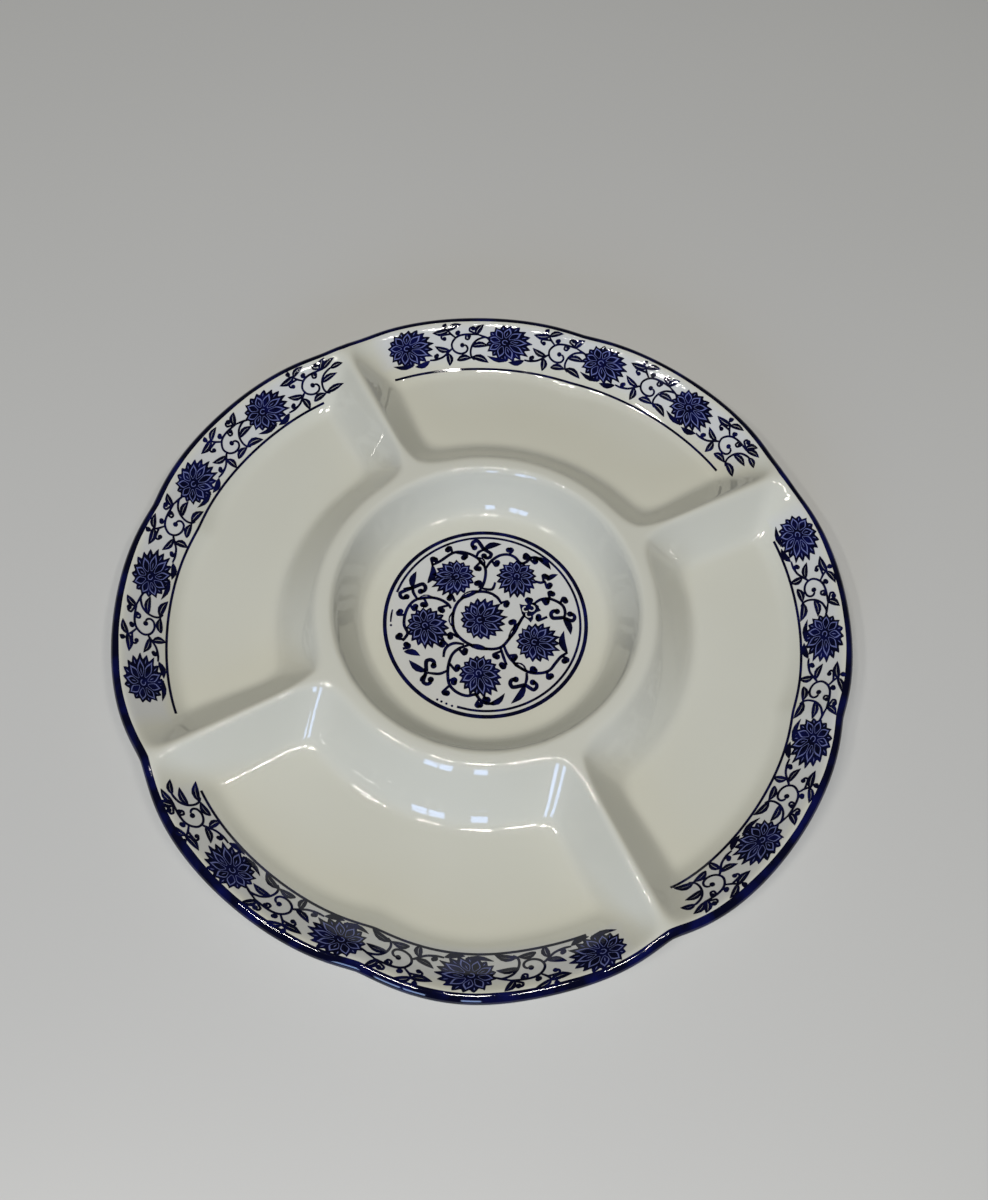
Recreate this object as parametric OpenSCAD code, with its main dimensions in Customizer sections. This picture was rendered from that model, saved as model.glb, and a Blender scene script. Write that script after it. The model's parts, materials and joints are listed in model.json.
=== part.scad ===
// Divided appetizer dish in glazed porcelain: four fan-shaped wells round a centre bowl,
// a lobed rim with a cobalt lip, four printed borders and a printed medallion.
// Millimetres. The dish stands on z = 0 and its dividers lie along the x and y axes.

/* [Dish] */
// Diameter across the lobes of the rim
dish_d = 260; // [240:5:280]
// Height of the lip above the table
lip_h = 21.5; // [20.5:0.5:24]
// Height of the floors of the bowl and the wells above the table
floor_h = 8.5; // [7.5:0.5:9.5]
// Thickness of the porcelain
wall = 4.5; // [3.5:0.25:5]
// Slope of the rim band, in degrees
rim_slope = 38; // [34:1:40]
// Radius of the bend between a well's floor and the rim band
rim_bend = 5; // [3:0.5:6]
// Rounding between the rim band and the level lip
lip_round = 4; // [2:0.5:5]
// Width of the level lip, to the middle of that rounding
lip_w = 3.5; // [3:0.25:4.5]

/* [Centre bowl] */
// Radius of the ring wall's crest
crest_r = 56; // [55:1:60]
// Height of the ring wall's crest above the table
crest_h = 26; // [24:0.5:28]
// Rounding of the ring wall's crest
crest_round = 3; // [2:0.25:3.5]
// Slope of the ring wall inside the bowl, in degrees
bowl_slope = 64; // [61:1:68]
// Slope of the ring wall towards the wells, in degrees
ring_slope = 47; // [44:1:56]
// Radius of the bend at the foot of the ring wall
ring_bend = 11; // [6:0.5:12]

/* [Dividers] */
// Slope of a divider's sides, in degrees
divider_slope = 50; // [46:1:58]
// Rounding of a divider's crest
divider_round = 2.5; // [1.5:0.25:3]
// Radius of the bend at a divider's foot
divider_bend = 10; // [5:0.5:11]

/* [Lobes] */
// Depth of the dips in the rim at the dividers
divider_dip = 2.5; // [0:0.1:3]
// Depth of the dips in the rim half way along each well
middle_dip = 1.4; // [0:0.1:3]
// Half width of a dip, in degrees
dip_width = 8; // [5:0.5:10]

/* [Foot ring] */
// Mean radius of the foot ring
foot_r = 88; // [84:1:92]
// Width of the foot ring where it touches the table
foot_w = 3.5; // [2.5:0.25:5]

/* [Decoration] */
// Depth of the rounded blue lip
band_depth = 1.8; // [1.2:0.1:2.5]
// Thickness of the printed colour
print_t = 0.3; // [0.2:0.05:0.4]
// Width of a border flower along the rim
flower_w = 17.5; // [14:0.5:19]
// Distance from the rim's edge to the middle of the border flowers
border_in = 9.8; // [9:0.1:10.5]
// Distance from the rim's edge to the thin line inside each border
line_in = 17; // [16.5:0.1:17.5]
// Angle from one border flower to the next, in degrees
flower_pitch = 19.3; // [18.5:0.1:19.5]
// Outer radius of the medallion
medallion_r = 37.2; // [36:0.2:38]
// Width of a medallion flower
medallion_flower_w = 15; // [12:0.5:15.5]

/* [Hidden] */
$fn = 96;
arc_steps = 6;
porcelain = "ivory";
cobalt = "midnightblue";

rim_r = dish_d / 2;
edge_r = rim_r - band_depth;
border_r = rim_r - border_in;
line_r = rim_r - line_in;
under_h = floor_h - wall;
top_h = crest_h + 20;
quarter_turns = [0, 90, 180, 270];
// Angle between each divider and the first flower past it, going clockwise:
// the prints were laid by hand, so no two start alike.
first_flower = [11.8, 12.3, 14.2, 10.5];

// Outline helpers

function unit(v) = v / norm(v);
function flat(p) = [p.x, p.y];

// The arc of radius rad that rounds the corner at b between a and c
function round_corner(a, b, c, rad) =
    let (
        u = unit(a - b),
        v = unit(c - b),
        half = acos(u * v) / 2,
        hub = b + unit(u + v) * rad / sin(half),
        first = b + u * rad / tan(half) - hub,
        last = b + v * rad / tan(half) - hub,
        start = atan2(first.y, first.x),
        sweep = atan2(last.y, last.x) - start,
        turn = sweep > 180 ? sweep - 360 : sweep < -180 ? sweep + 360 : sweep
    )
    [for (k = [0 : arc_steps])
        let (angle = start + turn * k / arc_steps)
        hub + rad * [cos(angle), sin(angle)]];

// A path of [x, y, rounding] corners, with each corner that has a rounding made an arc
function rounded(path) =
    [for (i = [0 : len(path) - 1])
        each path[i].z == 0
            ? [flat(path[i])]
            : round_corner(flat(path[i - 1]), flat(path[i]), flat(path[i + 1]), path[i].z)];

// How far a sharp crest of two slopes stands above the same crest once it is rounded
function crest_lift(slope_a, slope_b, rad) = rad * (1 / sin(90 - (slope_a + slope_b) / 2) - 1);
// How far such a crest drops when both its slopes move in by the wall
function wall_drop(slope_a, slope_b) = wall / sin(90 - (slope_a + slope_b) / 2);

// Sections of the porcelain

ring_apex = crest_h + crest_lift(bowl_slope, ring_slope, crest_round);
under_apex = ring_apex - wall_drop(bowl_slope, ring_slope);
groove_round = 1.5;

lip_corner_r = rim_r - lip_w;
blank_r = rim_r + wall;
function rim_top(r) = lip_h - (lip_corner_r - r) * tan(rim_slope);
function rim_under(r) = rim_top(r) - wall / cos(rim_slope);
// Radius at which the rim band's slope, through height rim_z at the lip's corner, meets a floor
function rim_foot_r(rim_z, floor_z) = lip_corner_r - (rim_z - floor_z) / tan(rim_slope);

// The bowl's floor, ring wall and well floor as one path from the axis outwards, which ends in
// the corners of the rim; the same path, lower by the wall, is the underside.
function dish_path(floor_z, apex_z, crest_rad, rim_corners) =
    rounded(concat([
        [0, floor_z, 0],
        [crest_r - (apex_z - floor_z) / tan(bowl_slope), floor_z, ring_bend],
        [crest_r, apex_z, crest_rad],
        [crest_r + (apex_z - floor_z) / tan(ring_slope), floor_z, ring_bend],
    ], rim_corners));
function turned_round(path) = [for (i = [len(path) - 1 : -1 : 0]) path[i]];

top_path = dish_path(floor_h, ring_apex, crest_round, [
    [rim_foot_r(lip_h, floor_h), floor_h, rim_bend],
    [lip_corner_r, lip_h, lip_round],
    [blank_r, lip_h, 0],
]);
under_path = dish_path(under_h, under_apex, groove_round, [
    [rim_foot_r(rim_under(lip_corner_r), under_h), under_h, rim_bend],
    [blank_r, rim_under(blank_r), 0],
]);

module wall_of_revolution() {
    rotate_extrude()
        polygon(concat(under_path, turned_round(top_path)));
}

// Everything above the middle of the wall, which trims the dividers from below
module space_over_wall() {
    lift = [0, wall / 2];
    rotate_extrude()
        polygon(concat(
            [for (p = under_path) p + lift],
            [[blank_r, top_h], [0, top_h]]));
}

module foot_ring() {
    sink = 1;
    flare = 2;
    rotate_extrude()
        polygon([
            [foot_r - foot_w / 2, 0],
            [foot_r + foot_w / 2, 0],
            [foot_r + foot_w / 2 + flare, under_h + sink],
            [foot_r - foot_w / 2 - flare, under_h + sink],
        ]);
}

// Dividers

divider_apex = crest_h + crest_lift(divider_slope, divider_slope, divider_round);
divider_end_r = edge_r - divider_dip;
divider_fall = atan((crest_h - lip_h) / (divider_end_r - crest_r));

// A ridge along the x axis, from radius r0 to r1, whose crest falls towards the rim
module ridge(r0, r1, apex_z, crest_rad, base_z) {
    foot = (apex_z - base_z) / tan(divider_slope);
    apron = foot + 2 * divider_bend;
    section = rounded([
        [-apron, base_z, 0],
        [-foot, base_z, divider_bend],
        [0, apex_z, crest_rad],
        [foot, base_z, divider_bend],
        [apron, base_z, 0],
    ]);
    thickness = 0.3;
    translate([crest_r, 0, 0])
        rotate([0, divider_fall, 0])
            translate([r0 - crest_r, 0, 0])
                rotate([90, 0, 90])
                    linear_extrude(r1 - r0)
                        polygon(concat(section, [[apron, base_z - thickness], [-apron, base_z - thickness]]));
}

module dividers() {
    for (turn = quarter_turns)
        rotate(turn)
            ridge(crest_r, blank_r, divider_apex, divider_round, floor_h);
}

// The hollows under the dividers, which stop at both sides of the foot ring
module divider_hollows() {
    web = foot_w + wall;
    outer_end = rim_r - 4 * wall;
    for (turn = quarter_turns, span = [[crest_r, foot_r - web / 2], [foot_r + web / 2, outer_end]])
        rotate(turn)
            ridge(span[0], span[1], divider_apex - wall_drop(divider_slope, divider_slope),
                groove_round, under_h - wall);
}

// Lobed rim

edge_count = 160;
function dip(angle, every, offset) =
    let (away = ((angle - offset + every / 2) % every + every) % every - every / 2)
    exp(-pow(away / dip_width, 2));
function lobed(angle) = edge_r - divider_dip * dip(angle, 90, 0) - middle_dip * dip(angle, 90, 45);
edge_angles = [for (i = [0 : edge_count - 1]) i * 360 / edge_count];
function edge_line(inset = 0) = [for (a = edge_angles) (lobed(a) - inset) * [cos(a), sin(a)]];

module porcelain_body() {
    color(porcelain)
        intersection() {
            union() {
                difference() {
                    union() {
                        wall_of_revolution();
                        intersection() {
                            dividers();
                            space_over_wall();
                        }
                    }
                    divider_hollows();
                }
                foot_ring();
            }
            linear_extrude(top_h)
                polygon(edge_line());
        }
}

// Edge band: the rounded lip, seated on the porcelain's edge all round

band_sides = 6;
lip_t = lip_h - rim_under(edge_r);
band_section = [for (k = [0 : band_sides])
    let (angle = 90 - 180 * k / band_sides)
    [band_depth * cos(angle), (sin(angle) - 1) * lip_t / 2]];

module edge_band() {
    ring = len(band_section);
    points = [for (a = edge_angles, p = band_section)
        [(lobed(a) + p.x) * cos(a), (lobed(a) + p.x) * sin(a), lip_h + p.y]];
    faces = [for (i = [0 : edge_count - 1], k = [0 : ring - 1])
        let (j = (i + 1) % edge_count, m = (k + 1) % ring)
        each [
            [i * ring + k, i * ring + m, j * ring + m],
            [i * ring + k, j * ring + m, j * ring + k],
        ]];
    color(cobalt)
        polyhedron(points, faces);
}

// Printed ornament, drawn flat: a rosette, a tapering stroke along a spiral, and a leaf

function rosette(w, h, petals = 12) =
    [for (i = [0 : petals - 1], p = [[0, 1], [0.28, 0.9], [0.5, 0.7], [0.72, 0.9]])
        let (angle = 360 * (i + p[0]) / petals)
        p[1] / 2 * [w * cos(angle), h * sin(angle)]];

function spiral_stroke(hub, r0, r1, a0, a1, w, steps = 12) =
    let (
        middle = [for (k = [0 : steps])
            let (t = k / steps)
            [r0 + (r1 - r0) * t, a0 + (a1 - a0) * t, w * (1 - 0.4 * t)]]
    )
    concat(
        [for (m = middle) hub + (m[0] + m[2] / 2) * [cos(m[1]), sin(m[1])]],
        [for (m = turned_round(middle)) hub + (m[0] - m[2] / 2) * [cos(m[1]), sin(m[1])]]);

function leaf(base, length, width, angle) =
    [for (p = [[0, 0], [0.25, 0.4], [0.55, 0.5], [0.8, 0.28], [1, 0], [0.8, -0.28], [0.55, -0.5], [0.25, -0.4]])
        base + [
            p.x * length * cos(angle) - p.y * width * sin(angle),
            p.x * length * sin(angle) + p.y * width * cos(angle),
        ]];

// The vine between two border flowers, in millimetres along the band and outwards
vine = [
    spiral_stroke([19, 0.6], 4.6, 1.6, 150, -240, 0.8),
    spiral_stroke([24.8, -2.2], 4.2, 2.4, 200, 20, 0.8),
    leaf([11.5, -3.2], 4.2, 2, -40),
    leaf([11, -1.5], 3.8, 1.9, 60),
    leaf([16, -5.4], 4, 1.9, 190),
    leaf([20.5, -5.2], 4.2, 2, -15),
    leaf([14.5, 6.2], 4, 1.8, 175),
    leaf([16.2, 5.6], 4.4, 1.8, 15),
    leaf([25, -1], 3.4, 1.8, 20),
    leaf([25.5, 4.6], 4, 1.9, 30),
];

// A point of a border, from millimetres past the divider, clockwise, and outwards
function on_border(p, start) =
    let (angle = start - p.x * 180 / (PI * border_r))
    (border_r + p.y) * [cos(angle), sin(angle)];

// The printed skin of the rim between two radii, which lies on the porcelain all over
module rim_skin(r0, r1, start = 0, sweep = 360) {
    lift = [0, print_t];
    inner = [r0, rim_top(r0)];
    outer = r1 < lip_corner_r ? [r1, rim_top(r1)] : [r1, lip_h];
    lower = concat([inner], [for (p = top_path) if (p.x > r0 && p.x < r1) p], [outer]);
    rotate(start)
        rotate_extrude(angle = sweep)
            polygon(concat(lower, [for (p = turned_round(lower)) p + lift]));
}

module border_transfer(sector) {
    divider_angle = 90 * sector;
    flower_count = 4;
    flower_h = 12.8;
    line_w = 0.6;
    line_gap = 6;
    edge_gap = 0.5;
    color(cobalt) {
        intersection() {
            rim_skin(line_r + line_w, rim_r);
            linear_extrude(top_h)
                intersection() {
                    polygon(edge_line(edge_gap));
                    for (i = [0 : flower_count - 1]) {
                        start = divider_angle - first_flower[sector] - i * flower_pitch;
                        polygon([for (p = rosette(flower_w, flower_h)) on_border(p, start)]);
                        for (mark = vine)
                            polygon([for (p = mark) on_border(p, start)]);
                    }
                }
        }
        rim_skin(line_r - line_w / 2, line_r + line_w / 2, divider_angle - 90 + line_gap, 90 - 2 * line_gap);
    }
}

module border_transfer_1() { border_transfer(0); }
module border_transfer_2() { border_transfer(1); }
module border_transfer_3() { border_transfer(2); }
module border_transfer_4() { border_transfer(3); }

module medallion_ring(r, w) {
    difference() {
        circle(r);
        circle(r - w);
    }
}

module centre_transfer() {
    flower_ring = 20.8;
    // The five outer flowers stand unevenly round the middle one
    outer_flowers = [29, 98, 161, 238, 310];
    flower = rosette(medallion_flower_w, medallion_flower_w);
    color(cobalt)
        translate([0, 0, floor_h])
            linear_extrude(print_t) {
                medallion_ring(medallion_r, 1);
                medallion_ring(medallion_r - 2, 0.6);
                polygon(flower);
                for (turn = outer_flowers)
                    rotate(turn) {
                        translate([flower_ring, 0])
                            polygon(flower);
                        polygon(spiral_stroke([flower_ring, 0], 9.6, 9, 65, 118, 0.8));
                        polygon(spiral_stroke([27.2, 14], 3.2, 1.4, -60, 260, 0.8));
                        polygon(leaf([31, -6.5], 3.6, 1.8, -75));
                        polygon(leaf([30, 6.6], 4, 1.8, 25));
                    }
            }
}

porcelain_body();
edge_band();
border_transfer_1();
border_transfer_2();
border_transfer_3();
border_transfer_4();
centre_transfer();
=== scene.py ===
# %% [markdown]
# # A divided appetizer dish in blue and white porcelain
# The dish is one piece of glazed porcelain: four fan-shaped wells lie round a centre bowl, and the rim
# waves in and out in eight lobes. Cobalt blue is brushed on the lip and printed on the rim and in the bowl.
# The lesson builds it the way a pottery would: first the body, then the painted lip, then the prints.
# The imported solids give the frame, so every piece lies in the same place and at the same size.

# %% Load the frame and read the driving sizes from it
import json
import math

import bpy
from mathutils import Matrix, Vector

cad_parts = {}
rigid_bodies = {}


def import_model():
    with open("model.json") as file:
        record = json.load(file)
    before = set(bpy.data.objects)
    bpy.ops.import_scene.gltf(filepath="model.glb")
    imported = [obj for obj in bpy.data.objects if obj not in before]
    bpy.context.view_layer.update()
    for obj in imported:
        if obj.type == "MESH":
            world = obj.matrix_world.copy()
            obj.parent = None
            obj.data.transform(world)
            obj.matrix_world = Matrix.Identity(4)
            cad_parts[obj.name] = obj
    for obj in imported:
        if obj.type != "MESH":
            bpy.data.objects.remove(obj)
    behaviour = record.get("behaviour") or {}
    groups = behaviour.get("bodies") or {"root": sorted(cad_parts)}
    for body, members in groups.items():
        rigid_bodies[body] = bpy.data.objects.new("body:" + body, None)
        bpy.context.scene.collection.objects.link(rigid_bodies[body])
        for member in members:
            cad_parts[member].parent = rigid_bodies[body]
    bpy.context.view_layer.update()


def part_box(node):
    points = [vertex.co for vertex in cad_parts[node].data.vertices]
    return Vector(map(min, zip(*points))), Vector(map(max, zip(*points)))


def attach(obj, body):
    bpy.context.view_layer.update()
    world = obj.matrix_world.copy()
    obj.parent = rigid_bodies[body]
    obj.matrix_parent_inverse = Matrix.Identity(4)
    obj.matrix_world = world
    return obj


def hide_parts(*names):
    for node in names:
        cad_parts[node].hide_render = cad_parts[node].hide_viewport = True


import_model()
mm = 0.001

medal_low, medal_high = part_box("centre_transfer")
crest_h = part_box("porcelain_body")[1].z
lip_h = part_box("edge_band")[1].z
floor_h = medal_low.z
medal_r = medal_high.x
print(f"crest {crest_h / mm:.1f} mm, lip {lip_h / mm:.1f} mm, floor {floor_h / mm:.1f} mm above the table")

# %% [markdown]
# ## The camera
# The picture was taken from in front, looking steeply down, with a slightly tilted camera.
# A focal length in pixels becomes a lens by the ratio of sensor to picture, and the three axes of the
# camera are built from its pitch and roll. The dish stood turned on its table. Turning it here would take
# it out of the shared frame, so the camera goes round it instead.

# %% Place the camera as the photograph was taken
picture_h = 1200
focal_px = 1075
pitch = math.radians(64.4)
roll = math.radians(5.35)
dish_turn = math.radians(32.0)
rim_r = 130 * mm
aim_px = Vector((-7.0, -6.1))
camera_distance = 2.908 * rim_r

level_right = Vector((1, 0, 0))
forward = Vector((0, math.cos(pitch), -math.sin(pitch)))
level_up = Vector((0, math.sin(pitch), math.cos(pitch)))
right = math.cos(roll) * level_right + math.sin(roll) * level_up
up = math.cos(roll) * level_up - math.sin(roll) * level_right
aside = aim_px * camera_distance / focal_px
stand = -(right * aside.x + up * aside.y + forward * camera_distance)
# From the photograph's axes, with the rim's centre as origin, to the dish's own
to_dish = Matrix.Translation((0, 0, lip_h)) @ Matrix.Rotation(-dish_turn, 4, "Z")

camera_data = bpy.data.cameras.new("photo_camera")
camera_data.sensor_width = 36
camera_data.lens = focal_px / picture_h * camera_data.sensor_width
camera_data.clip_start = 10 * mm
camera = bpy.data.objects.new("photo_camera", camera_data)
bpy.context.scene.collection.objects.link(camera)
axes = Matrix((right, up, -forward)).transposed().to_4x4()
camera.matrix_world = to_dish @ Matrix.Translation(stand) @ axes
bpy.context.scene.camera = camera
print(f"camera {camera_distance:.2f} m from the dish, lens {camera_data.lens:.1f} mm")

# %% [markdown]
# ## Biscuit, the bare clay
# Porcelain is fired twice. The first firing leaves biscuit, a hard and matt white clay, and it stays bare
# where the foot stands in the kiln. A picture of clay could give its grain, but noise stays sharp at any
# distance. A material is a tree of nodes: one function adds a node with its settings and links, and one
# turns the sRGB hex values, in which colours are written here, to linear light.

# %% Fire the biscuit
def add(tree, kind, inputs=None, **settings):
    """Adds one node. An input is a value, the output socket of another node, or a list of sockets."""
    node = tree.nodes.new(kind)
    for name, value in settings.items():
        setattr(node, name, value)
    for socket, value in (inputs or {}).items():
        for source in value if isinstance(value, list) else [value]:
            if isinstance(source, bpy.types.NodeSocket):
                tree.links.new(source, node.inputs[socket])
            else:
                node.inputs[socket].default_value = source
    return node


def linear(code):
    """Turns an sRGB hex colour to linear RGBA."""
    channels = [int(code[i:i + 2], 16) / 255 for i in (1, 3, 5)]
    light = [c / 12.92 if c <= 0.04045 else ((c + 0.055) / 1.055) ** 2.4 for c in channels]
    return (*light, 1.0)


def start_material(name, shader_values):
    """Starts a node material and returns it with its tree, its shader and the point on the object."""
    material = bpy.data.materials.new(name)
    material.use_nodes = True
    tree = material.node_tree
    shader = tree.nodes["Principled BSDF"]
    for socket, value in shader_values.items():
        shader.inputs[socket].default_value = value
    point = add(tree, "ShaderNodeTexCoord").outputs["Object"]
    return material, tree, shader, point


def mottled(tree, point, size, detail, dark, pale):
    """Two colours in soft patches. A colour mix takes its share at socket 0 and its colours at 6 and 7."""
    patches = add(tree, "ShaderNodeTexNoise", {"Vector": point, "Scale": 1 / size, "Detail": detail})
    mix = add(tree, "ShaderNodeMix", {0: patches.outputs["Fac"], 6: linear(dark), 7: linear(pale)},
              data_type="RGBA")
    return mix.outputs[2]


def bare_biscuit():
    """Fired clay without glaze. The eye sees it matt, a little darker than the dish, and slightly sandy."""
    material, tree, shader, point = start_material("bare_biscuit_porcelain", {"Roughness": 0.85, "IOR": 1.5})
    grit_size = 0.6 * mm
    sand = mottled(tree, point, grit_size, 3.0, "#B9B2A2", "#D2CCBD")
    tree.links.new(sand, shader.inputs["Base Color"])
    return material


biscuit = bare_biscuit()
print("finish:", biscuit.name)

# %% [markdown]
# ## Glazed porcelain
# The second firing melts a clear glaze to glass. The eye sees a warm white clay through a glossy skin that
# isn't quite flat. Two surfaces, one inside the other, would show it too, but the shader's coat does so on
# one. Cobalt clouds the glaze, so the clay looks bluer about the prints. Where it does is a formula of
# radius and angle, and one function adds the nodes of a formula, so that it can be read line by line.

# %% Mix the glazed porcelain
def work_out(tree, known, steps):
    """Adds the nodes of a formula. A step is a name, an operation and terms: numbers or earlier names."""
    for name, operation, *terms in steps:
        sockets = {place: known.get(term, term) for place, term in enumerate(terms)}
        known[name] = add(tree, "ShaderNodeMath", sockets, operation=operation).outputs[0]
    return known


# The glaze is a glass, so its IOR is that of glass. Clay and colour lie in it and mirror nothing themselves
clear_glaze = {"Coat Weight": 1.0, "Coat Roughness": 0.03, "Coat IOR": 1.52, "Specular IOR Level": 0.0,
               "Roughness": 0.5}


def wavy_glaze(tree, shader, point):
    """A melted glaze is never quite flat: broad, very shallow waves bend what it mirrors."""
    wave_size = 16 * mm
    wave_depth = 0.06 * mm
    waves = add(tree, "ShaderNodeTexNoise", {"Vector": point, "Scale": 1 / wave_size, "Detail": 1.0})
    bump = add(tree, "ShaderNodeBump",
               {"Height": waves.outputs["Fac"], "Distance": wave_depth, "Strength": 1.0})
    tree.links.new(bump.outputs["Normal"], shader.inputs["Coat Normal"])


def glazed_porcelain():
    """Warm white porcelain. The eye sees faint clouds in the clay and a blue haze about the prints."""
    material, tree, shader, point = start_material("glazed_porcelain", clear_glaze)
    cloud_size = 45 * mm
    haze_edge = 2.5 * mm
    haze_amount = 0.45
    haze_start = math.radians(5)
    haze_run = math.radians(3)
    band_middle = 120 * mm
    band_half = 6.5 * mm
    clay = mottled(tree, point, cloud_size, 2.0, "#C9CABF", "#D0D1C8")
    place = add(tree, "ShaderNodeSeparateXYZ", {0: point})
    haze = work_out(tree, {"x": place.outputs["X"], "y": place.outputs["Y"]}, [
        ("x2", "MULTIPLY", "x", "x"),
        ("r2", "MULTIPLY_ADD", "y", "y", "x2"),
        ("radius", "SQRT", "r2"),
        ("angle", "ARCTAN2", "y", "x"),
        ("from divider", "PINGPONG", "angle", math.pi / 4),
        ("past divider", "SUBTRACT", "from divider", haze_start),
        ("print share", "DIVIDE", "past divider", haze_run),
        ("from medallion", "SUBTRACT", "radius", medal_r),
        ("off band", "SUBTRACT", "radius", band_middle),
        ("band distance", "ABSOLUTE", "off band"),
        ("from band", "SUBTRACT", "band distance", band_half),
        ("band fade", "DIVIDE", "from band", -haze_edge),
        ("border fade", "MINIMUM", "band fade", "print share"),
        ("medallion fade", "DIVIDE", "from medallion", -haze_edge),
        ("fade", "MAXIMUM", "medallion fade", "border fade"),
        ("rising", "MAXIMUM", "fade", 0.0),
        ("share", "MINIMUM", "rising", 1.0),
        ("haze", "MULTIPLY", "share", haze_amount),
    ])["haze"]
    tinted = add(tree, "ShaderNodeMix", {0: haze, 6: clay, 7: linear("#C8CCD8")}, data_type="RGBA")
    tree.links.new(tinted.outputs[2], shader.inputs["Base Color"])
    wavy_glaze(tree, shader, point)
    return material


porcelain = glazed_porcelain()
print("finish:", porcelain.name, "with", len(porcelain.node_tree.nodes), "nodes")

# %% [markdown]
# ## Cobalt under the glaze
# Cobalt oxide fires to a deep blue under the clear glaze, so highlights lie on top of the colour. Printed
# colour is nearly black and varies within a flower, and brushed colour varies over longer stretches. In a
# flower's fine lines the clay was left bare and the colour has bled in, which leaves a pale blue. A painted
# texture could hold all three, but they are one stuff in three thicknesses, so one function mixes them.

# %% Mix the cobalt blues
def cobalt_under_glaze(name, deep, thin, patch_size):
    """Cobalt under clear glaze. The eye sees one blue that turns lighter where the colour lies thin."""
    material, tree, shader, point = start_material(name, clear_glaze)
    thin_from = 0.45
    thin_to = 0.8
    patches = add(tree, "ShaderNodeTexNoise", {"Vector": point, "Scale": 1 / patch_size, "Detail": 3.0})
    thinning = add(tree, "ShaderNodeMapRange",
                   {"Value": patches.outputs["Fac"], "From Min": thin_from, "From Max": thin_to})
    colour = add(tree, "ShaderNodeMix", {0: thinning.outputs["Result"], 6: linear(deep), 7: linear(thin)},
                 data_type="RGBA")
    tree.links.new(colour.outputs[2], shader.inputs["Base Color"])
    wavy_glaze(tree, shader, point)
    return material


printed_cobalt = cobalt_under_glaze("printed_cobalt_under_glaze", "#02031E", "#0B1150", 5 * mm)
bled_cobalt = cobalt_under_glaze("bled_cobalt_under_glaze", "#646CA2", "#727AAE", 5 * mm)
brushed_cobalt = cobalt_under_glaze("brushed_cobalt_under_glaze", "#02031C", "#0A1052", 9 * mm)
print("finishes:", ", ".join(blue.name for blue in (printed_cobalt, bled_cobalt, brushed_cobalt)))

# %% [markdown]
# ## The lobed edge
# A pressed dish has no seam or corner: bowl, ring wall, dividers, wells and rim flow into each other.
# Joining separate solids would leave creases, and modelling the blends by hand would take many loops.
# Here the whole surface is a height over the table, worked out from radius and angle by Math nodes.
# The first group gives the wavy edge. The rim dips inward and a little upward at the dividers and half
# way between them, and one lobe is wider than the others, because no firing is quite even.

# %% Write the lobed edge as a formula
half_well = math.pi / 4
divider_dip = 3.4 * mm
divider_lift = 0.2 * mm
divider_reach = math.radians(7)
middle_dip = 1.7 * mm
middle_lift = 0.5 * mm
middle_reach = math.radians(5.5)
dip_power = 1.4
wide_lobe = math.radians(240)
wide_reach = math.radians(11)
wide_extra = 1.8 * mm


def start_tree(name, inputs, outputs):
    """Starts a geometry tree and returns it with its inputs by name and its output node."""
    tree = bpy.data.node_groups.new(name, "GeometryNodeTree")
    for label, kind in inputs:
        tree.interface.new_socket(label, in_out="INPUT", socket_type="NodeSocket" + kind)
    for label, kind in outputs:
        tree.interface.new_socket(label, in_out="OUTPUT", socket_type="NodeSocket" + kind)
    entry = add(tree, "NodeGroupInput")
    leave = add(tree, "NodeGroupOutput")
    return tree, {label: entry.outputs[label] for label, kind in inputs}, leave


def dip_steps(place, reach):
    """The steps of a V-shaped dip with soft sides: 1 in its middle, and next to nothing past its reach."""
    return [
        (f"{place} share", "DIVIDE", f"from {place}", reach),
        (f"{place} power", "POWER", f"{place} share", dip_power),
        (f"{place} fall", "MULTIPLY", f"{place} power", -1.0),
        (f"at {place}", "EXPONENT", f"{place} fall"),
    ]


lobed_rim, given, leave = start_tree(
    "lobed rim", [("Angle", "Float")], [("Edge", "Float"), ("Lift", "Float")])
rim_parts = work_out(lobed_rim, {"angle": given["Angle"]}, [
    ("from divider", "PINGPONG", "angle", half_well),
    *dip_steps("divider", divider_reach),
    ("from middle", "SUBTRACT", half_well, "from divider"),
    *dip_steps("middle", middle_reach),
    ("off wide lobe", "SUBTRACT", "angle", wide_lobe),
    ("wide cosine", "COSINE", "off wide lobe"),
    ("wide drop", "SUBTRACT", "wide cosine", 1.0),
    ("wide fall", "MULTIPLY", "wide drop", 2 / wide_reach ** 2),
    ("at wide lobe", "EXPONENT", "wide fall"),
    ("dipped once", "MULTIPLY_ADD", "at divider", -divider_dip, rim_r),
    ("dipped twice", "MULTIPLY_ADD", "at middle", -middle_dip, "dipped once"),
    ("edge", "MULTIPLY_ADD", "at wide lobe", wide_extra, "dipped twice"),
    ("lifted once", "MULTIPLY", "at divider", divider_lift),
    ("lift", "MULTIPLY_ADD", "at middle", middle_lift, "lifted once"),
])
lobed_rim.links.new(rim_parts["edge"], leave.inputs["Edge"])
lobed_rim.links.new(rim_parts["lift"], leave.inputs["Lift"])
print("lobed rim:", len(lobed_rim.nodes), "nodes")

# %% [markdown]
# ## The slopes of the dish
# The second group is the height itself. Each feature is a simple slope, written down by itself first.
# The rim band rises evenly to the lip, where a cap holds it level. The bowl's wall is a parabola that is
# flat at the medallion and steepest at the crest, as a thrown bowl is, and the ring wall falls straight
# to the wells. Curves with handles could draw the same sections, but a formula gives every angle at once.

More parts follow.
